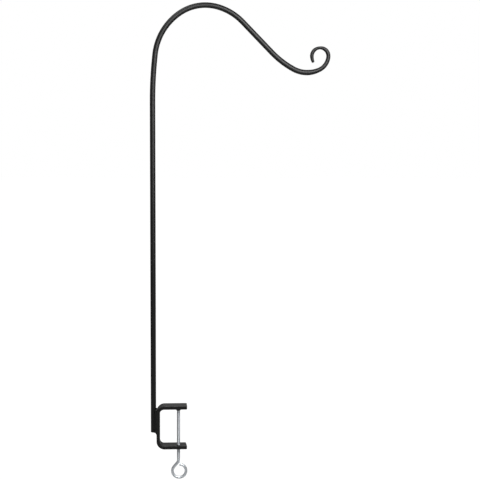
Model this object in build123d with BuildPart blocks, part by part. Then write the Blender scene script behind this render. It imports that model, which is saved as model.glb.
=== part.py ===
from build123d import *
from math import acos, cos, degrees, radians, sin, sqrt
import os

os.makedirs("parts", exist_ok=True)

# Deck shepherd's hook, in millimetres.
# The origin is on the flat underside of the clamp's upper arm, on the clamp screw's axis.
# +Z runs up along the upright, +X out of the clamp's mouth and along the hook's reach.

# Clamp bracket: flat bar bent to a C
bar_width = 25.0
bar_thickness = 6.5
bar_edge_chamfer = 0.6
bend_inner_radius = 8.5
clamp_opening = 72.0
throat_depth = 35.8
arm_nose = 16.8
nose_corner_radius = 3.0
hole_chamfer = 0.5

# Hook rod: round bar, bent cold, with the scroll drawn down hot
rod_diameter = 10.3
rod_foot_drop = 47.0
upright_height = 586.5
shoulder_radius = 790.0
shoulder_angle = 6.4
rise_radius = 106.8
rise_angle = 49.8
crown_radius = 85.8
crown_angle = 48.8
fall_radius = 103.0
fall_angle = 30.2
slope_length = 78.3
sway_radius = 168.6
sway_angle = 17.4
seat_radius = 54.3
seat_angle = 31.2
draw_angle = 22.8
scroll_radius = 29.8
scroll_angle = 57.4
curl_radius = 15.65
curl_angle = 190.0
tip_radius = 27.0
tip_angle = 27.0
scroll_diameter = 8.5
curl_start_diameter = 7.9
curl_end_diameter = 6.4
tip_diameter = 4.6
tip_length = 1.2
tip_taper = 35.0

# Clamp screw: eye screw with a rolled thread and a dog point
screw_diameter = 6.35
wire_diameter = 5.7
screw_clearance = 0.05
thread_end_drop = 100.0
thread_runout = 1.5
point_chamfer = 0.5
neck_radius = 6.0
eye_radius = 13.2
eye_offset = 1.4
eye_centre_drop = 125.2
eye_gap = 0.5

# Swivel pad, riveted loosely on the dog point
pad_gap = 2.05
pad_diameter = 9.0
pad_thickness = 2.2
dog_diameter = 3.6
rivet_diameter = 5.2
rivet_height = 0.8

# Welds: one run each side of the rod, which meet in the root gap, one across the notch at
# the bracket's bend and a hollow fillet under the rod's foot
root_gap = 0.8
weld_toe = 6.8
weld_skin_radius = 4.2
weld_rod_angle = 60.0
weld_end_radius = 3.0
weld_bottom_drop = 46.0
weld_top_rise = 0.4
weld_parting_drop = 4.5
notch_weld_half_width = 4.8
foot_fillet_radius = 4.4
foot_fillet_lip = 0.6

# One overrun for all cuts
overrun = 1.0

# Places that several pieces share
rod_radius = rod_diameter / 2
leg_inner_x = -throat_depth
leg_outer_x = leg_inner_x - bar_thickness
rod_x = leg_outer_x - root_gap - rod_radius
lower_arm_top_z = -clamp_opening
lower_arm_bottom_z = lower_arm_top_z - bar_thickness
pad_top_z = -pad_gap
pad_bottom_z = pad_top_z - pad_thickness
shank_radius = screw_diameter / 2
wire_radius = wire_diameter / 2
dog_radius = dog_diameter / 2
rivet_radius = rivet_diameter / 2
hole_radius = shank_radius + screw_clearance

# The bar's middle line runs from the upper nose round the leg to the lower nose
bend_middle_radius = bend_inner_radius + bar_thickness / 2
leg_middle_x = leg_inner_x - bar_thickness / 2
upper_middle_z = bar_thickness / 2
lower_middle_z = lower_arm_top_z - bar_thickness / 2

with BuildPart() as clamp_bracket:
    with BuildLine(Plane.XZ) as bar_path:
        FilletPolyline(
            (arm_nose, upper_middle_z),
            (leg_middle_x, upper_middle_z),
            (leg_middle_x, lower_middle_z),
            (arm_nose, lower_middle_z),
            radius=bend_middle_radius,
        )
    with BuildSketch(Plane(bar_path.line @ 0, x_dir=(0, 1, 0), z_dir=bar_path.line % 0)):
        Rectangle(bar_width, bar_thickness)
        chamfer(vertices(), bar_edge_chamfer)
    sweep(path=bar_path.line)
    # Sheared noses with their corners rounded off
    with BuildSketch(Plane.XY.offset(lower_arm_bottom_z - overrun)):
        with Locations((arm_nose - nose_corner_radius, 0)):
            Rectangle(
                nose_corner_radius + overrun,
                bar_width + 2 * overrun,
                align=(Align.MIN, Align.CENTER),
            )
        with Locations((arm_nose, 0)):
            RectangleRounded(
                bar_width,
                bar_width,
                nose_corner_radius,
                align=(Align.MAX, Align.CENTER),
                mode=Mode.SUBTRACT,
            )
    extrude(amount=clamp_opening + 2 * (bar_thickness + overrun), mode=Mode.SUBTRACT)
    # The screw's hole through the lower arm
    with Locations(Plane.XY.offset(lower_arm_top_z)):
        Hole(hole_radius, depth=bar_thickness + overrun)
    hole_rims = clamp_bracket.edges().filter_by(GeomType.CIRCLE).sort_by_distance(
        (hole_radius, 0, lower_middle_z)
    )
    chamfer(hole_rims.filter_by(Plane.XY)[:2], hole_chamfer)
clamp_bracket.part.label = "clamp_bracket"

with BuildPart() as hook_rod:
    # The bar keeps its full section up to the hanging seat
    with BuildLine(Plane.XZ) as stock_path:
        upright = Line((rod_x, -rod_foot_drop), (rod_x, upright_height))
        shoulder = JernArc(upright @ 1, upright % 1, shoulder_radius, -shoulder_angle)
        rise = JernArc(shoulder @ 1, shoulder % 1, rise_radius, -rise_angle)
        crown = JernArc(rise @ 1, rise % 1, crown_radius, -crown_angle)
        fall = JernArc(crown @ 1, crown % 1, fall_radius, -fall_angle)
        slope = Line(fall @ 1, (fall @ 1) + (fall % 1) * slope_length)
        sway = JernArc(slope @ 1, slope % 1, sway_radius, sway_angle)
        seat = JernArc(sway @ 1, sway % 1, seat_radius, seat_angle)
    with BuildSketch(Plane.XY.offset(-rod_foot_drop)):
        with Locations((rod_x, 0)):
            Circle(rod_radius)
    sweep(path=stock_path.line)
    # From the seat on it is drawn down to the tip
    with BuildLine(Plane.XZ) as drawn_path:
        draw = JernArc(seat @ 1, seat % 1, seat_radius, draw_angle)
        scroll = JernArc(draw @ 1, draw % 1, scroll_radius, scroll_angle)
        curl = JernArc(scroll @ 1, scroll % 1, curl_radius, curl_angle)
        tip = JernArc(curl @ 1, curl % 1, tip_radius, tip_angle)
    stations = (
        (draw, 0, rod_diameter),
        (draw, 1, scroll_diameter),
        (scroll, 1, curl_start_diameter),
        (curl, 1, curl_end_diameter),
        (tip, 1, tip_diameter),
    )
    for arc, end, diameter in stations:
        with BuildSketch(Plane(arc @ end, x_dir=(0, 1, 0), z_dir=arc % end)):
            Circle(diameter / 2)
    sweep(path=drawn_path.line, multisection=True)
    with BuildSketch(Plane(tip @ 1, x_dir=(0, 1, 0), z_dir=tip % 1)):
        Circle(tip_diameter / 2)
    extrude(amount=tip_length, taper=tip_taper)
hook_rod.part.label = "hook_rod"

# Seen from the rod's side, the weld's outline is a rounded rectangle about the seam.
# The side runs lie below the parting height and the run across the notch above it.
weld_outline_height = weld_top_rise + weld_bottom_drop
weld_outline_centre = (0, (weld_top_rise - weld_bottom_drop) / 2)
rod_toe_x = rod_x + rod_radius * cos(radians(weld_rod_angle))
rod_toe_y = rod_radius * sin(radians(weld_rod_angle))

with BuildPart() as front_weld:
    with BuildSketch(Plane.XY.offset(-weld_bottom_drop)):
        with BuildLine():
            RadiusArc((rod_toe_x, -rod_toe_y), (leg_outer_x, -weld_toe), -weld_skin_radius)
            Polyline(
                (leg_outer_x, -weld_toe),
                (leg_outer_x, 0),
                (rod_x, 0),
                (rod_toe_x, -rod_toe_y),
            )
        make_face()
        with Locations((rod_x, 0)):
            Circle(rod_radius, mode=Mode.SUBTRACT)
    extrude(amount=weld_bottom_drop - weld_parting_drop)
    with BuildSketch(Plane.YZ.offset(rod_x)):
        with Locations(weld_outline_centre):
            RectangleRounded(2 * weld_toe, weld_outline_height, weld_end_radius)
    extrude(amount=rod_radius + bar_thickness, mode=Mode.INTERSECT)
    add(clamp_bracket.part, mode=Mode.SUBTRACT)
front_weld.part.label = "front_weld"

with BuildPart() as back_weld:
    mirror(front_weld.part, about=Plane.XZ)
back_weld.part.label = "back_weld"

with BuildPart() as top_weld:
    with BuildSketch(Plane.XY.offset(-weld_parting_drop)):
        with Locations((rod_x, 0)):
            Rectangle(
                rod_radius + bar_thickness,
                2 * notch_weld_half_width,
                align=(Align.MIN, Align.CENTER),
            )
    extrude(amount=weld_parting_drop + weld_top_rise)
    with BuildSketch(Plane.YZ.offset(rod_x)):
        with Locations(weld_outline_centre):
            RectangleRounded(2 * notch_weld_half_width, weld_outline_height, weld_end_radius)
    extrude(amount=rod_radius + bar_thickness, mode=Mode.INTERSECT)
    add(hook_rod.part, mode=Mode.SUBTRACT)
    add(clamp_bracket.part, mode=Mode.SUBTRACT)
top_weld.part.label = "top_weld"

# Under the rod's foot the fillet is hollow, and as wide as the rod
foot_z = -rod_foot_drop
foot_lip_x = leg_outer_x - foot_fillet_lip
foot_lip_z = foot_z - foot_fillet_lip
foot_reach_x = foot_lip_x - foot_fillet_radius
foot_toe_z = foot_lip_z - foot_fillet_radius

with BuildPart() as bottom_weld:
    with BuildSketch(Plane.XZ):
        with BuildLine():
            RadiusArc((foot_reach_x, foot_lip_z), (foot_lip_x, foot_toe_z), foot_fillet_radius)
            Polyline(
                (foot_lip_x, foot_toe_z),
                (leg_outer_x, foot_toe_z),
                (leg_outer_x, foot_z),
                (foot_reach_x, foot_z),
                (foot_reach_x, foot_lip_z),
            )
        make_face()
    extrude(amount=rod_radius, both=True)
    with BuildSketch(Plane.XY.offset(foot_toe_z)):
        with Locations((rod_x, 0)):
            Circle(rod_radius)
            Rectangle(leg_outer_x - rod_x, rod_diameter, align=(Align.MIN, Align.CENTER))
    extrude(amount=foot_z - foot_toe_z, mode=Mode.INTERSECT)
bottom_weld.part.label = "bottom_weld"

with BuildPart() as swivel_pad:
    with BuildSketch(Plane.XZ):
        with BuildLine():
            Polyline(
                (dog_radius + screw_clearance, pad_bottom_z),
                (pad_diameter / 2, pad_bottom_z),
                (pad_diameter / 2, pad_top_z),
                (rivet_radius + screw_clearance, pad_top_z),
                (dog_radius + screw_clearance, pad_top_z - rivet_height),
                close=True,
            )
        make_face()
    revolve(axis=Axis.Z)
swivel_pad.part.label = "swivel_pad"

# The neck bends off the shank's axis until it meets the eye's circle, which it then follows
# round to where the cut end stands clear of the neck
circle_distance = neck_radius + eye_radius
neck_angle = degrees(acos((eye_offset + neck_radius) / circle_distance))
neck_start_z = -eye_centre_drop + sqrt(circle_distance**2 - (eye_offset + neck_radius) ** 2)
eye_outer_radius = eye_radius + wire_radius
neck_outer_radius = neck_radius + wire_radius + eye_gap
eye_opening_cosine = (circle_distance**2 + eye_outer_radius**2 - neck_outer_radius**2) / (
    2 * circle_distance * eye_outer_radius
)
eye_sweep_angle = 360 - degrees(acos(eye_opening_cosine))
shoulder_z = pad_bottom_z - screw_clearance

with BuildPart() as clamp_screw:
    with BuildSketch(Plane.XZ):
        with BuildLine():
            Polyline(
                (0, neck_start_z),
                (wire_radius, neck_start_z),
                (wire_radius, -thread_end_drop - thread_runout),
                (shank_radius, -thread_end_drop),
                (shank_radius, shoulder_z - point_chamfer),
                (shank_radius - point_chamfer, shoulder_z),
                (dog_radius, shoulder_z),
                (dog_radius, pad_top_z - rivet_height),
                (rivet_radius, pad_top_z),
                (0, pad_top_z),
                close=True,
            )
        make_face()
    revolve(axis=Axis.Z)
    with BuildLine(Plane.XZ) as wire_path:
        neck = JernArc((0, neck_start_z), (0, -1), neck_radius, -neck_angle)
        eye = JernArc(neck @ 1, neck % 1, eye_radius, eye_sweep_angle)
    with BuildSketch(Plane.XY.offset(neck_start_z)):
        Circle(wire_radius)
    sweep(path=wire_path.line)
clamp_screw.part.label = "clamp_screw"

pieces = (
    hook_rod,
    clamp_bracket,
    top_weld,
    front_weld,
    back_weld,
    bottom_weld,
    clamp_screw,
    swivel_pad,
)
for piece in pieces:
    export_step(piece.part, f"parts/{piece.part.label}.step")
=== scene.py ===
from math import ceil, cos, degrees, exp, hypot, pi, radians, sin, sqrt, tan, tau

import bmesh
import bpy
from mathutils import Matrix, Vector, noise


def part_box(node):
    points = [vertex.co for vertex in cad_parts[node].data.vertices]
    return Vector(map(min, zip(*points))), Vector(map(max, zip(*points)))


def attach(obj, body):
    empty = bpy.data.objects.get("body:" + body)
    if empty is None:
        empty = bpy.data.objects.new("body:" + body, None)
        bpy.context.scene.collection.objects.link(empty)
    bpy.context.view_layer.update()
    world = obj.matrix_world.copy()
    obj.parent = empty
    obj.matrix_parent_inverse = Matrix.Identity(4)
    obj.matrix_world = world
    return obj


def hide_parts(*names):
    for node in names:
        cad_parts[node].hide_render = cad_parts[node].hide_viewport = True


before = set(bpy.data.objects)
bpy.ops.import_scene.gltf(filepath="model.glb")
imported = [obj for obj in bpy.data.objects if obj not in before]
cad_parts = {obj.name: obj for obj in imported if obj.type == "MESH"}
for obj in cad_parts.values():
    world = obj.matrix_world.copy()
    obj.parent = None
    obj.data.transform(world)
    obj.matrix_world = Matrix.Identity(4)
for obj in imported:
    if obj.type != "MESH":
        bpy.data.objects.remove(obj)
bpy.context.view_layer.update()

# Sizes and places that the frame gives, in metres
rod_low, rod_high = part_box("hook_rod")
bar_low, bar_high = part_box("clamp_bracket")
screw_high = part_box("clamp_screw")[1]
pad_low, pad_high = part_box("swivel_pad")
foot_weld_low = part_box("bottom_weld")[0]
side_weld_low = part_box("front_weld")[0]
notch_weld_low, notch_weld_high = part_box("top_weld")

rod_radius = (rod_high.y - rod_low.y) / 2
rod_x = rod_low.x + rod_radius
rod_foot_z = rod_low.z
bar_width = bar_high.y - bar_low.y
bar_thickness = bar_high.z
leg_outer_x = bar_low.x
nose_x = bar_high.x
lower_arm_top_z = bar_low.z + bar_thickness
thread_radius = screw_high.y
pad_radius = pad_high.y

# The crook's bends, as radius in metres and turn in degrees, left-hand turns positive
upright_top_z = 0.5865
shoulder = (0.790, -6.4)
shoulder_step = radians(0.8)
rise = (0.1068, -49.8)
crown = (0.0858, -48.8)
fall = (0.103, -30.2)
slope_length = 0.0783
sway = (0.1686, 17.4)
seat = (0.0543, 31.2)
draw = (0.0543, 22.8)
scroll = (0.0298, 57.4)
curl = (0.01565, 190.0)
tip = (0.027, 22.0)

# The bar drawn down along the scroll, its waist at the scroll's top, and its ends
scroll_radius = 0.00425
curl_start_radius = 0.00395
curl_end_radius = 0.0035
tip_radius = 0.0027
waist_heading = radians(187)
waist_spread = radians(32)
waist_outer_share = 0.31
waist_inner_share = 0.155
tip_dome = 0.0012
tip_dome_turn = radians(78)
tip_dome_steps = 7
foot_round = 0.0009
forging_depth = 0.00003
forging_grain = 95.0
forging_lead = 20

# The flat bar's bends and edges
bend_inner_radius = 0.0085
bar_edge_radius = 0.0007
bar_edge_end_share = 0.9
nose_corner_radius = 0.003
bend_side_draw = 0.0004
bend_thinning = 0.0002
hole_clearance = 0.00005
hole_chamfer = 0.0005
cutter_overrun = 0.0004
upper_nose_shear = 0.0007
lower_nose_shear = 0.0024
shear_reach = 0.010
nose_steps = (
    0, 0.00005, 0.00012, 0.00022, 0.00036, 0.00055,
    0.0008, 0.0011, 0.0015, 0.002, 0.0025, 0.003,
)
arm_step = 0.0025
leg_step = 0.004
bar_bend_step = radians(5)
flat_shares = (0.6, 0.2, -0.2, -0.6)

# The rolled thread, the wire that it is rolled on and the eye
thread_pitch = 0.00127
thread_depth = 0.00055
thread_rows = 12
thread_end_z = -0.100
thread_fade = 0.0022
crest_share = 0.16
flank_share = 0.62
wire_radius = 0.00285
point_round = 0.0005
neck_radius = 0.005
neck_lean = radians(40)
eye_radius = 0.0132
eye_offset = 0.0014
eye_centre_z = -0.1252
eye_sweep = 310.0
wire_end_round = 0.0005
bend_flattening = 0.04
flattening_lead = 6
wire_step = 0.001
neck_step = radians(4)
eye_step = radians(3)

# The pad and the rivet head that holds it
pad_top_round = 0.00028
pad_bottom_round = 0.0007
dog_radius = 0.0018
rivet_radius = 0.0026
rivet_height = 0.0008
rivet_dish = 0.00022
# The rivet head from its middle to its rim, as shares of its radius and of its dish's depth
rivet_profile = ((0.08, 1.0), (0.45, 1.0), (0.72, 0.35), (0.93, 0.0), (1.0, 0.35))
pad_under_share = 0.65
pad_over_share = 0.8
pad_fit = 0.00005
turning_pitch = 0.00028

# Weld metal laid puddle by puddle, and the seed of how the puddles wander
weld_seed = 7
puddle_pitch = 0.00165
puddle_stretch = 0.74
puddle_wander = 0.2
puddle_swell = 0.05
puddle_seed_step = 1.7
puddle_seed_side = 0.3
end_row_share = 0.2
bead_row = 0.00025
bead_grain = 420.0
bead_unevenness = 0.00012
rough_unevenness = 0.0006
rough_length = 0.012
calm_share = 0.3

# The runs beside the rod, across the notch and under the foot
side_bead_radius = 0.0042
side_bead_inset = 0.0046
side_bead_lift = 0.0004
side_bead_start = 0.0012
side_bead_seed = 3.1
pit_place = Vector((-0.0450, -0.0062, -0.0065))
pit_radius = 0.0021
pit_depth = 0.0011
notch_bead_radius = 0.0029
notch_bead_sink = 0.0004
notch_bead_seed = 9.4
foot_side_round = 0.0011
foot_side_draw = 0.7
foot_fillet_share = 0.88
foot_embed = 0.0004
foot_ripple = 0.00012
foot_ripple_pitch = 0.0016
foot_columns = 32
foot_rows = 24

# Fineness of the meshes
rod_sides = 48
wire_sides = 36
turned_sides = 64
bead_sides = 36
corner_steps = 5
station_turn = radians(2.0)
station_length = 0.006


class Value:
    """A socket in a material. Sums on values add Math nodes, and node() adds any other node."""

    def __init__(self, tree, socket=None):
        self.tree = tree
        self.socket = socket

    def node(self, kind, settings=(), inputs=(), output=0):
        new = self.tree.nodes.new(kind)
        for name, setting in dict(settings).items():
            setattr(new, name, setting)
        for name, value in dict(inputs).items():
            if isinstance(value, Value):
                self.tree.links.new(value.socket, new.inputs[name])
            else:
                new.inputs[name].default_value = value
        return Value(self.tree, new.outputs[output]) if new.outputs else new

    def maths(self, operation, *terms):
        return self.node("ShaderNodeMath", {"operation": operation}, enumerate(terms))

    def vector(self, operation, *terms, output=0):
        return self.node("ShaderNodeVectorMath", {"operation": operation}, enumerate(terms), output)

    def __add__(self, other):
        return self.maths("ADD", self, other)

    def __sub__(self, other):
        return self.maths("SUBTRACT", self, other)

    def __rsub__(self, other):
        return self.maths("SUBTRACT", other, self)

    def __mul__(self, other):
        return self.maths("MULTIPLY", self, other)

    __radd__ = __add__
    __rmul__ = __mul__

    def between(self, low, high):
        """0 below low and 1 above high, with a soft step between them."""
        settings = {"interpolation_type": "SMOOTHSTEP"}
        return self.node("ShaderNodeMapRange", settings, {0: self, 1: low, 2: high})

    def blend(self, first, second):
        """The first colour where this value is 0 and the second where it is 1."""
        return self.node("ShaderNodeMix", {"data_type": "RGBA"}, {0: self, 6: first, 7: second}, 2)


def new_material(name):
    """A bare material, the place on the piece in metres, and a function that ends the material."""
    material = bpy.data.materials.new(name)
    material.use_nodes = True
    material.node_tree.nodes.clear()
    start = Value(material.node_tree)
    place = start.node("ShaderNodeTexCoord", output=3)

    def end(shader):
        start.node("ShaderNodeOutputMaterial", inputs={"Surface": shader})
        return material

    return place, end


def grain(place, size, detail=2.0, roughness=0.5):
    """Noise from 0 to 1 with lumps of that size in metres."""
    inputs = {"Vector": place, "Scale": 1 / size, "Detail": detail, "Roughness": roughness}
    return place.node("ShaderNodeTexNoise", inputs=inputs)


def marked(place, kind):
    """The share, from 0 to 1, that a piece's points carry under that name."""
    return place.node("ShaderNodeAttribute", {"attribute_name": kind}, output=2)


def relief(height, depth):
    """The surface normal where height runs from 0 to 1 over that depth in metres."""
    return height.node("ShaderNodeBump", inputs={"Height": height, "Strength": 1.0, "Distance": depth})


def shade(level, tint=0.0):
    """A grey as a colour, bluer with a positive tint."""
    return (level * (1 - tint), level, level * (1 + tint), 1)


def powder_coat(name="satin_black_powder_coat", peel_depth=0.000022, lump_share=0.25):
    """Satin black powder coat: orange peel over bar stock, thinner and glossier on the edges."""
    place, end = new_material(name)
    cloud = grain(place, size=0.022, detail=3.0)
    lumps = grain(place, size=0.0042)
    peel = grain(place, size=0.0016, detail=1.5)
    grit = grain(place, size=0.00045)
    dust = grain(place, size=0.0009, detail=4.0, roughness=0.7).between(0.60, 0.78)
    edge = marked(place, "edge")
    black = cloud.blend(shade(0.0065), shade(0.0100))
    black = (edge * 0.75).blend(black, shade(0.029))
    black = (dust * 0.14).blend(black, shade(0.040))
    coat = {
        "Base Color": black,
        "Roughness": 0.24 + 0.10 * cloud + 0.07 * grit - 0.05 * edge + 0.05 * dust,
        "Normal": relief(0.55 * peel + 0.20 * grit + lump_share * lumps, peel_depth),
        "IOR": 1.36,
    }
    return end(place.node("ShaderNodeBsdfPrincipled", inputs=coat))


def coat_over_weld():
    """The same coat over weld metal, which is lumpier than bar stock."""
    return powder_coat("powder_coat_over_weld", peel_depth=0.00009, lump_share=0.75)


def bright_zinc():
    """Bright zinc plate, faintly blue and cloudy, rougher down in the thread's roots, where its colour is
    darkened with painted shade.
    """
    place, end = new_material("bright_zinc_plate")
    cloud = grain(place, size=0.0035, detail=4.0, roughness=0.6)
    fine = grain(place, size=0.0004, detail=3.0)
    spots = grain(place, size=0.0012, detail=3.0, roughness=0.65).between(0.62, 0.75)
    root = marked(place, "root")
    plate = cloud.blend(shade(0.86, 0.050), shade(0.94, 0.035))
    # Painted shade: the plate's colour is darkened down in the thread's roots, where shade falls in the
    # grooves
    plate = (root * 0.60).blend(plate, shade(0.46, 0.03))
    plate = (spots * 0.30).blend(plate, shade(0.62))
    metal = {
        "Base Color": plate,
        "Metallic": 1.0,
        "Roughness": 0.33 + 0.10 * cloud + 0.12 * root + 0.10 * spots,
        "Normal": relief(0.6 * cloud + 0.4 * fine, 0.00003),
    }
    return end(place.node("ShaderNodeBsdfPrincipled", inputs=metal))


def blackened_steel():
    """Turned steel with black oxide, whose turning marks run round the screw's axis."""
    place, end = new_material("black_oxide_steel")
    cloud = grain(place, size=0.002, detail=3.0)
    reach = place.vector("LENGTH", place.vector("MULTIPLY", place, (1, 1, 0)), output=1)
    rings = place.maths("SINE", reach * (tau / turning_pitch))
    oxide = cloud.blend((0.020, 0.018, 0.016, 1), (0.034, 0.031, 0.028, 1))
    oxide = (marked(place, "edge") * 0.5).blend(oxide, shade(0.11))
    steel = {
        "Base Color": oxide,
        "Metallic": 0.55,
        "Roughness": 0.38 + 0.14 * cloud,
        "Normal": relief(0.3 * rings + 0.4 * cloud, 0.00002),
    }
    return end(place.node("ShaderNodeBsdfPrincipled", inputs=steel))


def closed_mesh(name, points, faces, kind="edge", marks=()):
    """A mesh whose faces all look outward, with a share for each point under the kind's name."""
    mesh = bpy.data.meshes.new(name)
    mesh.from_pydata(points, [], faces)
    if marks:
        mesh.attributes.new(kind, "FLOAT", "POINT").data.foreach_set("value", marks)
    sorted_mesh = bmesh.new()
    sorted_mesh.from_mesh(mesh)
    bmesh.ops.recalc_face_normals(sorted_mesh, faces=sorted_mesh.faces)
    sorted_mesh.to_mesh(mesh)
    sorted_mesh.free()
    return mesh


def place_piece(mesh, body, material, node, sharp=50):
    """A piece made of the mesh, which rides on the body and stands for the frame's node."""
    mesh.polygons.foreach_set("use_smooth", [True] * len(mesh.polygons))
    mesh.set_sharp_from_angle(angle=radians(sharp))
    mesh.materials.clear()
    mesh.materials.append(material)
    piece = bpy.data.objects.new(mesh.name, mesh)
    bpy.context.scene.collection.objects.link(piece)
    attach(piece, body)
    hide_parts(node)


def skin(rings, hollow=False):
    """Points and faces of a tube through the rings. A hollow one closes on itself instead of in caps."""
    sides = len(rings[0])
    points = [point for ring in rings for point in ring]
    faces = []
    for row in range(len(rings) if hollow else len(rings) - 1):
        here = row * sides
        there = (row + 1) % len(rings) * sides
        for side in range(sides):
            turn = (side + 1) % sides
            faces.append((here + side, here + turn, there + turn, there + side))
    if not hollow:
        for row, step in ((0, -1), (len(rings) - 1, 1)):
            points.append(sum((Vector(point) for point in rings[row]), Vector()) / sides)
            for side in range(sides):
                rim = (row * sides + side, row * sides + (side + 1) % sides)
                faces.append((*rim[::step], len(points) - 1))
    return points, faces


def lathe(profile, sides):
    """Rings round the screw's axis from pairs of radius and height."""
    turns = [tau * side / sides for side in range(sides)]
    return [[Vector((r * cos(turn), r * sin(turn), z)) for turn in turns] for r, z in profile]


class Walk:
    """A line in the XZ plane made of straights and bends. Stations hold place, heading and radius."""

    def __init__(self, x, z, heading, radius=0.0):
        self.stations = [(x, z, heading, radius)]

    def straight(self, length, step=station_length):
        x, z, heading, radius = self.stations[-1]
        count = max(1, ceil(length / step))
        for k in range(1, count + 1):
            run = length * k / count
            self.stations.append((x + cos(heading) * run, z + sin(heading) * run, heading, radius))
        return self

    def bend(self, bend_radius, degrees_left, radius=None, step=station_turn):
        x, z, heading, start = self.stations[-1]
        end = start if radius is None else radius
        turn = radians(degrees_left)
        side = bend_radius if turn > 0 else -bend_radius
        centre_x = x - side * sin(heading)
        centre_z = z + side * cos(heading)
        count = ceil(abs(turn) / step)
        for k in range(1, count + 1):
            now = heading + turn * k / count
            place = (centre_x + side * sin(now), centre_z - side * cos(now))
            self.stations.append((*place, now, start + (end - start) * k / count))
        return self


def moved_on(station, distance):
    """The station moved along its heading."""
    x, z, heading, radius = station
    return (x + cos(heading) * distance, z + sin(heading) * distance, heading, radius)


def ring_at(station, radius, sides, flat=(0.0, 0.0)):
    """A round section at a station, flattened by a share on the left of its heading and the right."""
    x, z, heading = station[:3]
    ring = []
    for side in range(sides):
        angle = tau * side / sides
        out = radius * cos(angle) * (1 - flat[0 if cos(angle) > 0 else 1])
        ring.append(Vector((x - out * sin(heading), radius * sin(angle), z + out * cos(heading))))
    return ring


def rounded_rim(station, radius, rounding, sides, flat=(0.0, 0.0)):
    """Rings that end a bar in a flat face with a rounded rim."""
    rings = []
    for k in range(1, corner_steps + 1):
        angle = pi / 2 * k / corner_steps
        place = moved_on(station, rounding * (sin(angle) - 1))
        rings.append(ring_at(place, radius - rounding * (1 - cos(angle)), sides, flat))
    return rings


def domed_tip(station, radius, sides):
    """Rings that end the scroll in a low dome."""
    rings = []
    for k in range(1, tip_dome_steps + 1):
        angle = tip_dome_turn * k / tip_dome_steps
        place = moved_on(station, tip_dome * sin(angle) / sin(tip_dome_turn))
        rings.append(ring_at(place, radius * cos(angle), sides))
    return rings


def hammered(ring, centre, depth):
    """The ring with the shallow unevenness that drawing down under the hammer leaves."""
    worked = []
    for point in ring:
        out = (point - centre).normalized()
        worked.append(point - out * depth * (0.5 + 0.5 * noise.noise(point * forging_grain)))
    return worked


def make_crook(material):
    """One round bar: upright, crook, reverse bend, and the scroll drawn down to a blunt tip."""
    line = Walk(rod_x, rod_foot_z + foot_round, pi / 2, rod_radius)
    line.straight(upright_top_z - rod_foot_z - foot_round)
    line.bend(*shoulder, step=shoulder_step).bend(*rise).bend(*crown).bend(*fall)
    line.straight(slope_length).bend(*sway).bend(*seat)
    drawn_from = len(line.stations)
    line.bend(*draw, radius=scroll_radius).bend(*scroll, radius=curl_start_radius)
    line.bend(*curl, radius=curl_end_radius).bend(*tip, radius=tip_radius)
    foot = (rod_x, rod_foot_z, -pi / 2, rod_radius)
    rings = [mirrored(ring) for ring in rounded_rim(foot, rod_radius, foot_round, rod_sides)[::-1]]
    for number, station in enumerate(line.stations):
        waist = exp(-(((station[2] - waist_heading) / waist_spread) ** 2))
        flat = (waist_inner_share * waist, waist_outer_share * waist)
        ring = ring_at(station, station[3], rod_sides, flat)
        share = min(1.0, (number - drawn_from) / forging_lead)
        if share > 0:
            ring = hammered(ring, Vector((station[0], 0, station[1])), forging_depth * share)
        rings.append(ring)
    rings += domed_tip(line.stations[-1], tip_radius, rod_sides)
    mesh = closed_mesh("crook_bar", *skin(rings))
    place_piece(mesh, "hook", material, "hook_rod")


def mirrored(ring):
    """The ring in the order that a line with the opposite heading has."""
    half = len(ring) // 2
    return [ring[(half - side) % len(ring)] for side in range(len(ring))]


def drawn_back(distance, radius):
    """How far a rounded edge has drawn back at that distance from the end."""
    if distance >= radius:
        return 0.0
    return radius - sqrt(radius**2 - (radius - distance) ** 2)


def bar_ring(station, half_width, half_thickness, edge, outer_draw=0.0):
    """The flat bar's section at a station, with rounded edges, and how far each point is on one."""
    x, z, heading = station[:3]
    section = []
    corners = ((1, 1), (-1, 1), (-1, -1), (1, -1))
    for number, (across, out) in enumerate(corners):
        reach = half_width - edge - (outer_draw if out < 0 else 0.0)
        for k in range(corner_steps + 1):
            angle = (number + k / corner_steps) * pi / 2
            rounding = sqrt(abs(sin(pi * k / corner_steps)))
            place = (across * reach + edge * cos(angle), out * (half_thickness - edge) + edge * sin(angle))
            section.append((*place, rounding))
        if corners[(number + 1) % 4][0] != across:
            for share in flat_shares:
                section.append((across * reach * share, out * half_thickness, 0.0))
    ring = [Vector((x - out * sin(heading), y, z + out * cos(heading))) for y, out, mark in section]
    return ring, [mark for y, out, mark in section]


def sheared_nose(point):
    """The point moved as the shear that cut the bar left it, square in neither arm."""
    if point.x < nose_x - shear_reach:
        return point
    shear = upper_nose_shear if point.z > lower_arm_top_z / 2 else lower_nose_shear
    across = (point.y / bar_width + 0.5) * (point.x - nose_x + shear_reach) / shear_reach
    return point - Vector((shear * across, 0, 0))


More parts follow.
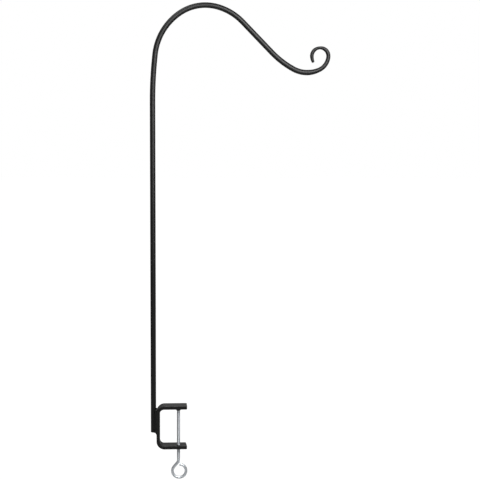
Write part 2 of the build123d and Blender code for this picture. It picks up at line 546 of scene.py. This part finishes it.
def make_clamp_bar(material):
    """Flat bar bent to a C: eased edges, sheared noses, bends that thin and draw in a little."""
    middle = bend_inner_radius + bar_thickness / 2
    arm = nose_x - (leg_outer_x + bar_thickness / 2) - middle
    leg = -bar_low.z - 2 * middle
    line = Walk(nose_x, bar_thickness / 2, pi)
    line.straight(arm, arm_step).bend(middle, 90, step=bar_bend_step)
    line.straight(leg, leg_step).bend(middle, 90, step=bar_bend_step)
    line.straight(arm, arm_step)
    first, last = line.stations[0], line.stations[-1]
    middle_part = []
    for station in line.stations:
        to_ends = [hypot(station[0] - end[0], station[1] - end[1]) for end in (first, last)]
        if min(to_ends) > nose_corner_radius:
            middle_part.append((station, nose_corner_radius))
    near = [(moved_on(first, step), step) for step in nose_steps]
    far = [(moved_on(last, -step), step) for step in reversed(nose_steps)]
    rings = []
    marks = []
    for station, distance in near + middle_part + far:
        back = drawn_back(distance, bar_edge_radius)
        corner = drawn_back(distance, nose_corner_radius)
        bent = abs(sin(2 * station[2]))
        ring, edges = bar_ring(
            station,
            bar_width / 2 - corner - back,
            bar_thickness / 2 - back - bend_thinning * bent,
            bar_edge_radius - back * bar_edge_end_share,
            bend_side_draw * bent,
        )
        rings.append([sheared_nose(point) for point in ring])
        rim = max(0.0, 1 - distance / bar_edge_radius)
        marks += [max(mark, rim) for mark in edges]
    points, faces = skin(rings)
    marks += [0.0] * (len(points) - len(marks))
    mesh = drilled(closed_mesh("clamp_blank", points, faces, "edge", marks))
    mesh.name = "clamp_bar"
    place_piece(mesh, "hook", material, "clamp_bracket")


def drilled(mesh):
    """The mesh with the screw's hole through the lower arm, its rims countersunk."""
    hole = thread_radius + hole_clearance
    wide = hole + hole_chamfer + cutter_overrun
    profile = (
        (wide, bar_low.z - cutter_overrun),
        (hole, bar_low.z + hole_chamfer),
        (hole, lower_arm_top_z - hole_chamfer),
        (wide, lower_arm_top_z + cutter_overrun),
    )
    drill = bpy.data.objects.new("drill", closed_mesh("drill", *skin(lathe(profile, turned_sides))))
    blank = bpy.data.objects.new("blank", mesh)
    for thing in (drill, blank):
        bpy.context.scene.collection.objects.link(thing)
    cut = blank.modifiers.new("hole", "BOOLEAN")
    cut.object = drill
    cut.solver = "EXACT"
    depsgraph = bpy.context.evaluated_depsgraph_get()
    result = bpy.data.meshes.new_from_object(blank.evaluated_get(depsgraph))
    for thing in (drill, blank):
        bpy.data.objects.remove(thing)
    return result


def thread_shape(turns):
    """Share of the thread's depth at that number of turns: crest 0, root 1, with rolled roundings."""
    phase = abs((turns % 1.0) - 0.5) * 2
    flank = min(1.0, max(0.0, (phase - crest_share) / flank_share))
    return flank * flank * (3 - 2 * flank)


def thread_rings(top_z, low_z):
    """Rings of the rolled thread, which leads in below the shoulder and runs out on the wire."""
    count = ceil((top_z - low_z) / thread_pitch * thread_rows)
    rings = []
    marks = []
    for row in range(1, count):
        z = top_z + (low_z - top_z) * row / count
        run_out = min(1.0, (z - low_z) / thread_fade)
        fade = min(run_out, (top_z - z) / thread_fade)
        crest = wire_radius + (thread_radius - wire_radius) * run_out
        depths = [fade * thread_shape(z / thread_pitch - side / wire_sides) for side in range(wire_sides)]
        ring = []
        for side, depth in enumerate(depths):
            angle = tau * side / wire_sides
            radius = crest - thread_depth * depth
            ring.append(Vector((radius * cos(angle), radius * sin(angle), z)))
        rings.append(ring)
        marks += depths
    return rings, marks


def make_eye_screw(material):
    """The eye screw: rivet head, dog point, rolled thread, plain wire, neck and bent eye."""
    shoulder_z = pad_low.z - pad_fit
    thread_low_z = thread_end_z - thread_fade
    head = [(rivet_radius * out, pad_high.z - rivet_dish * down) for out, down in rivet_profile]
    head += [(dog_radius, pad_high.z - rivet_height), (dog_radius, shoulder_z)]
    for k in range(corner_steps + 1):
        angle = pi / 2 * k / corner_steps
        rim = thread_radius - point_round * (1 - sin(angle))
        head.append((rim, shoulder_z - point_round * (1 - cos(angle))))
    rings = lathe(head, wire_sides)
    thread, depths = thread_rings(shoulder_z - point_round, thread_low_z)
    # Each point's share of the thread's depth, which the zinc reads as rougher plate and painted shade in
    # the roots
    marks = [0.0] * (len(rings) * wire_sides) + depths
    rings += thread

    # The neck leans from the screw's axis to the ring, which it joins along the ring's tangent
    line = Walk(0.0, thread_low_z, -pi / 2)
    lean_length = (eye_radius * cos(neck_lean) - eye_offset) / sin(neck_lean)
    corner_z = eye_centre_z + eye_radius * sin(neck_lean) + lean_length * cos(neck_lean)
    cut_off = neck_radius * tan(neck_lean / 2)
    line.straight(thread_low_z - corner_z - cut_off, wire_step)
    line.bend(neck_radius, -degrees(neck_lean), step=neck_step)
    line.straight(lean_length - cut_off, wire_step)
    bent_from = len(line.stations)
    line.bend(eye_radius, eye_sweep, step=eye_step)
    for number, station in enumerate(line.stations):
        share = bend_flattening * min(1.0, max(0.0, (number - bent_from) / flattening_lead))
        rings.append(ring_at(station, wire_radius, wire_sides, (share, share)))
    squeezed = (bend_flattening, bend_flattening)
    rings += rounded_rim(line.stations[-1], wire_radius, wire_end_round, wire_sides, squeezed)
    points, faces = skin(rings)
    marks += [0.0] * (len(points) - len(marks))
    mesh = closed_mesh("eye_screw", points, faces, "root", marks)
    place_piece(mesh, "screw", material, "clamp_screw", sharp=60)


def make_pad(material):
    """The turned pad: a deeply rounded lower rim, and a countersink for the rivet head."""
    rims = []
    for k in range(corner_steps + 1):
        angle = pi / 2 * k / corner_steps
        rim = pad_radius - pad_bottom_round * (1 - sin(angle))
        rims.append((rim, pad_low.z + pad_bottom_round * (1 - cos(angle))))
    for k in range(corner_steps + 1):
        angle = pi / 2 * k / corner_steps
        rim = pad_radius - pad_top_round * (1 - cos(angle))
        rims.append((rim, pad_high.z - pad_top_round * (1 - sin(angle))))
    profile = [
        (dog_radius + pad_fit, pad_low.z),
        (pad_radius * pad_under_share, pad_low.z),
        *rims,
        (pad_radius * pad_over_share, pad_high.z),
        (rivet_radius + pad_fit, pad_high.z),
        (dog_radius + pad_fit, pad_high.z - rivet_height),
    ]
    points, faces = skin(lathe(profile, turned_sides), hollow=True)
    marks = []
    for row in range(len(profile)):
        marks += [1.0 if 2 <= row < 2 + len(rims) else 0.0] * turned_sides
    mesh = closed_mesh("screw_pad", points, faces, "edge", marks)
    place_piece(mesh, "pad", material, "swivel_pad", sharp=40)


def bead_rings(start, along, length, radius, seed, rough_for, pitted=False):
    """Rings of a weld run laid puddle by puddle from start, rough at first and then calmer."""
    across = along.orthogonal().normalized()
    other = along.cross(across)
    count = max(2, round(length / puddle_pitch))
    puddles = []
    for number in range(count):
        wander = noise.noise_vector((seed + number * puddle_seed_step, seed * puddle_seed_side, 0.0))
        middle = length * (number + 0.5) / count + wander.x * puddle_pitch * puddle_wander
        puddles.append((middle, radius * (1 + puddle_swell * wander.y)))
    rings = []
    rows = ceil(length / bead_row)
    for row in range(rows + 1):
        run = length * min(max(row, end_row_share), rows - end_row_share) / rows
        bumpy = 0.0
        for middle, size in puddles:
            reach = (run - middle) / (size * puddle_stretch)
            if abs(reach) < 1:
                bumpy = max(bumpy, size * sqrt(1 - reach * reach))
        to_end = min(1.0, min(run, length - run) / (radius * puddle_stretch))
        smooth = radius * sqrt(1 - (1 - to_end) ** 2)
        rough = 1.0 if run < rough_for else max(calm_share, 1 - (run - rough_for) / rough_length)
        best = min(smooth, smooth + (bumpy - smooth) * rough)
        uneven = bead_unevenness + (rough_unevenness - bead_unevenness) * rough
        ring = []
        for side in range(bead_sides):
            angle = tau * side / bead_sides
            out = across * cos(angle) + other * sin(angle)
            spot = start + along * run + out * best
            spot -= out * uneven * (0.5 + 0.5 * noise.noise(spot * bead_grain))
            if pitted and (spot - pit_place).length < pit_radius:
                share = (spot - pit_place).length / pit_radius
                spot -= out * pit_depth * (1 - share**2) ** 2
            ring.append(spot)
        rings.append(ring)
    return rings


def foot_rings():
    """Sections across the hollow fillet under the rod's foot, rippled and rounded at its sides."""
    fillet = (leg_outer_x - foot_weld_low.x) * foot_fillet_share
    rings = []
    for column in range(foot_columns + 1):
        y = -rod_radius + 2 * rod_radius * column / foot_columns
        drawn = foot_side_draw * drawn_back(rod_radius - abs(y), foot_side_round)
        low_x = max(foot_weld_low.x, rod_x - sqrt(max(0.0, rod_radius**2 - y**2)))
        ring = []
        for row in range(foot_rows + 1):
            angle = pi / 2 * row / foot_rows
            x = foot_weld_low.x + fillet * sin(angle)
            z = foot_weld_low.z + fillet * cos(angle)
            ripple = foot_ripple / 2 * sin(tau * (x - z) / foot_ripple_pitch)
            ring.append(Vector((max(x, low_x) + drawn + ripple, y, z + drawn + ripple)))
        inner_x = leg_outer_x + foot_embed
        inner_z = rod_foot_z + foot_embed
        ring.append(Vector((inner_x, y, foot_weld_low.z + drawn)))
        ring.append(Vector((inner_x, y, inner_z)))
        ring.append(Vector((low_x, y, inner_z)))
        rings.append(ring)
    return rings


def make_welds(material):
    """The runs beside the rod, across the notch at the bend and under the rod's foot."""
    # Unseeded, noise_vector starts from the clock and moves the puddles from run to run
    noise.seed_set(weld_seed)
    down = Vector((0, 0, -1))
    side_top_z = notch_weld_high.z - side_bead_start
    side_length = side_top_z - side_weld_low.z
    runs = []
    for name, node, side in (("front_weld_bead", "front_weld", -1), ("back_weld_bead", "back_weld", 1)):
        start = Vector((leg_outer_x - side_bead_lift, side * side_bead_inset, side_top_z))
        seed = side_bead_seed + side
        rings = bead_rings(start, down, side_length, side_bead_radius, seed, rough_length, side < 0)
        runs.append((name, node, rings))
    across = Vector((0, 1, 0))
    start_x = leg_outer_x + notch_bead_sink
    start = Vector((start_x, notch_weld_low.y, notch_weld_high.z - notch_bead_radius))
    width = notch_weld_high.y - notch_weld_low.y
    rings = bead_rings(start, across, width, notch_bead_radius, notch_bead_seed, width)
    runs.append(("notch_weld_bead", "top_weld", rings))
    runs.append(("foot_weld_bead", "bottom_weld", foot_rings()))
    for name, node, rings in runs:
        place_piece(closed_mesh(name, *skin(rings)), "hook", material, node, sharp=75)


coat = powder_coat()
make_crook(coat)
make_clamp_bar(coat)
make_eye_screw(bright_zinc())
make_pad(blackened_steel())
make_welds(coat_over_weld())


# The studio: softboxes in front and above, a white background and a pale floor
floor_z = -0.215
floor_size = 30.0
floor_tone = 0.45
floor_seen_tone = 0.1
floor_glow = 0.985
room_brightness = 0.21
camera_aim = Vector((0.1173, 0.0, 0.32696))
camera_distance = 1.9
camera_azimuth = radians(-3.561)
camera_tilt = radians(6.046)
camera_roll = radians(0.355)
camera_focal_pixels = 995.6
camera_near = 0.05
image_pixels = 480
whole_hook = Vector((0.1, 0, 0.45))
crook_side = Vector((0.13, 0, 0.73))
# Name, azimuth from the camera's side to the right and elevation in degrees, distance, width
# and height in metres, brightness, and what the softbox looks at
softboxes = (
    ("key_softbox", 15, 20, 0.95, 0.3, 0.45, 11.2, crook_side),
    ("front_softbox", -5, 10, 0.95, 0.3, 0.45, 5.0, crook_side),
    ("low_softbox", 6, -12, 0.95, 0.3, 0.5, 4.6, crook_side),
    ("side_softbox", 35, 9, 0.95, 0.3, 0.85, 6.4, crook_side),
    ("right_softbox", 60, 10, 0.95, 0.3, 0.45, 3.2, crook_side),
    ("upper_left_softbox", -52, 59, 1.7, 1.0, 1.0, 3.4, whole_hook),
    ("back_left_softbox", -135, 30, 1.7, 1.0, 1.0, 0.4, whole_hook),
    ("back_softbox", 180, 30, 1.7, 1.0, 1.0, 1.5, whole_hook),
)


def direction(azimuth, elevation):
    """The way to a place in the studio, azimuth 0 on the camera's side and turning to the right."""
    return Vector((sin(azimuth) * cos(elevation), -cos(azimuth) * cos(elevation), sin(elevation)))


def make_camera():
    back = direction(camera_azimuth, camera_tilt)
    level = Vector((cos(camera_azimuth), sin(camera_azimuth), 0))
    up = back.cross(level)
    right = level * cos(camera_roll) + up * sin(camera_roll)
    top = up * cos(camera_roll) - level * sin(camera_roll)
    data = bpy.data.cameras.new("camera")
    data.lens = data.sensor_width * camera_focal_pixels / image_pixels
    data.clip_start = camera_near
    camera = bpy.data.objects.new("camera", data)
    turn = Matrix((right, top, back)).transposed().to_4x4()
    camera.matrix_world = Matrix.Translation(camera_aim + back * camera_distance) @ turn
    bpy.context.scene.collection.objects.link(camera)
    bpy.context.scene.camera = camera


def make_softbox(name, azimuth, elevation, distance, width, height, brightness, aim):
    """A soft light that looks at its aim."""
    way = direction(radians(azimuth), radians(elevation))
    data = bpy.data.lights.new(name, "AREA")
    data.shape = "RECTANGLE"
    data.size = width
    data.size_y = height
    data.energy = brightness * width * height * pi
    light = bpy.data.objects.new(name, data)
    light.location = aim + way * distance
    light.rotation_euler = way.to_track_quat("Z", "Y").to_euler()
    bpy.context.scene.collection.objects.link(light)


def make_floor():
    """A pale floor, which glows for the camera alone so that it is as white as the background."""
    half = floor_size / 2
    corners = [(x * half, y * half, floor_z) for x, y in ((-1, -1), (1, -1), (1, 1), (-1, 1))]
    mesh = bpy.data.meshes.new("studio_floor")
    mesh.from_pydata(corners, [], [(0, 1, 2, 3)])
    floor = bpy.data.objects.new("studio_floor", mesh)
    bpy.context.scene.collection.objects.link(floor)
    place, end = new_material("pale_floor")
    pale = place.node("ShaderNodeBsdfDiffuse", inputs={"Color": shade(floor_tone)})
    glow = place.node("ShaderNodeEmission", inputs={"Color": shade(1.0), "Strength": floor_glow})
    faint = place.node("ShaderNodeBsdfDiffuse", inputs={"Color": shade(floor_seen_tone)})
    both = place.node("ShaderNodeAddShader", inputs={0: faint, 1: glow})
    seen = place.node("ShaderNodeLightPath")
    mesh.materials.append(end(place.node("ShaderNodeMixShader", inputs={0: seen, 1: pale, 2: both})))


def make_surroundings():
    """White behind the object, and a dim room that the bar's gloss picks up."""
    world = bpy.data.worlds.new("studio")
    world.use_nodes = True
    world.node_tree.nodes.clear()
    start = Value(world.node_tree)
    seen = start.node("ShaderNodeLightPath")
    white = start.node("ShaderNodeBackground", inputs={"Color": shade(1.0), "Strength": 1.0})
    room = start.node("ShaderNodeBackground", inputs={"Color": shade(1.0), "Strength": room_brightness})
    mixed = start.node("ShaderNodeMixShader", inputs={0: seen, 1: room, 2: white})
    start.node("ShaderNodeOutputWorld", inputs={"Surface": mixed})
    bpy.context.scene.world = world


make_camera()
make_floor()
make_surroundings()
for softbox in softboxes:
    make_softbox(*softbox)
bpy.context.scene.view_settings.view_transform = "Standard"
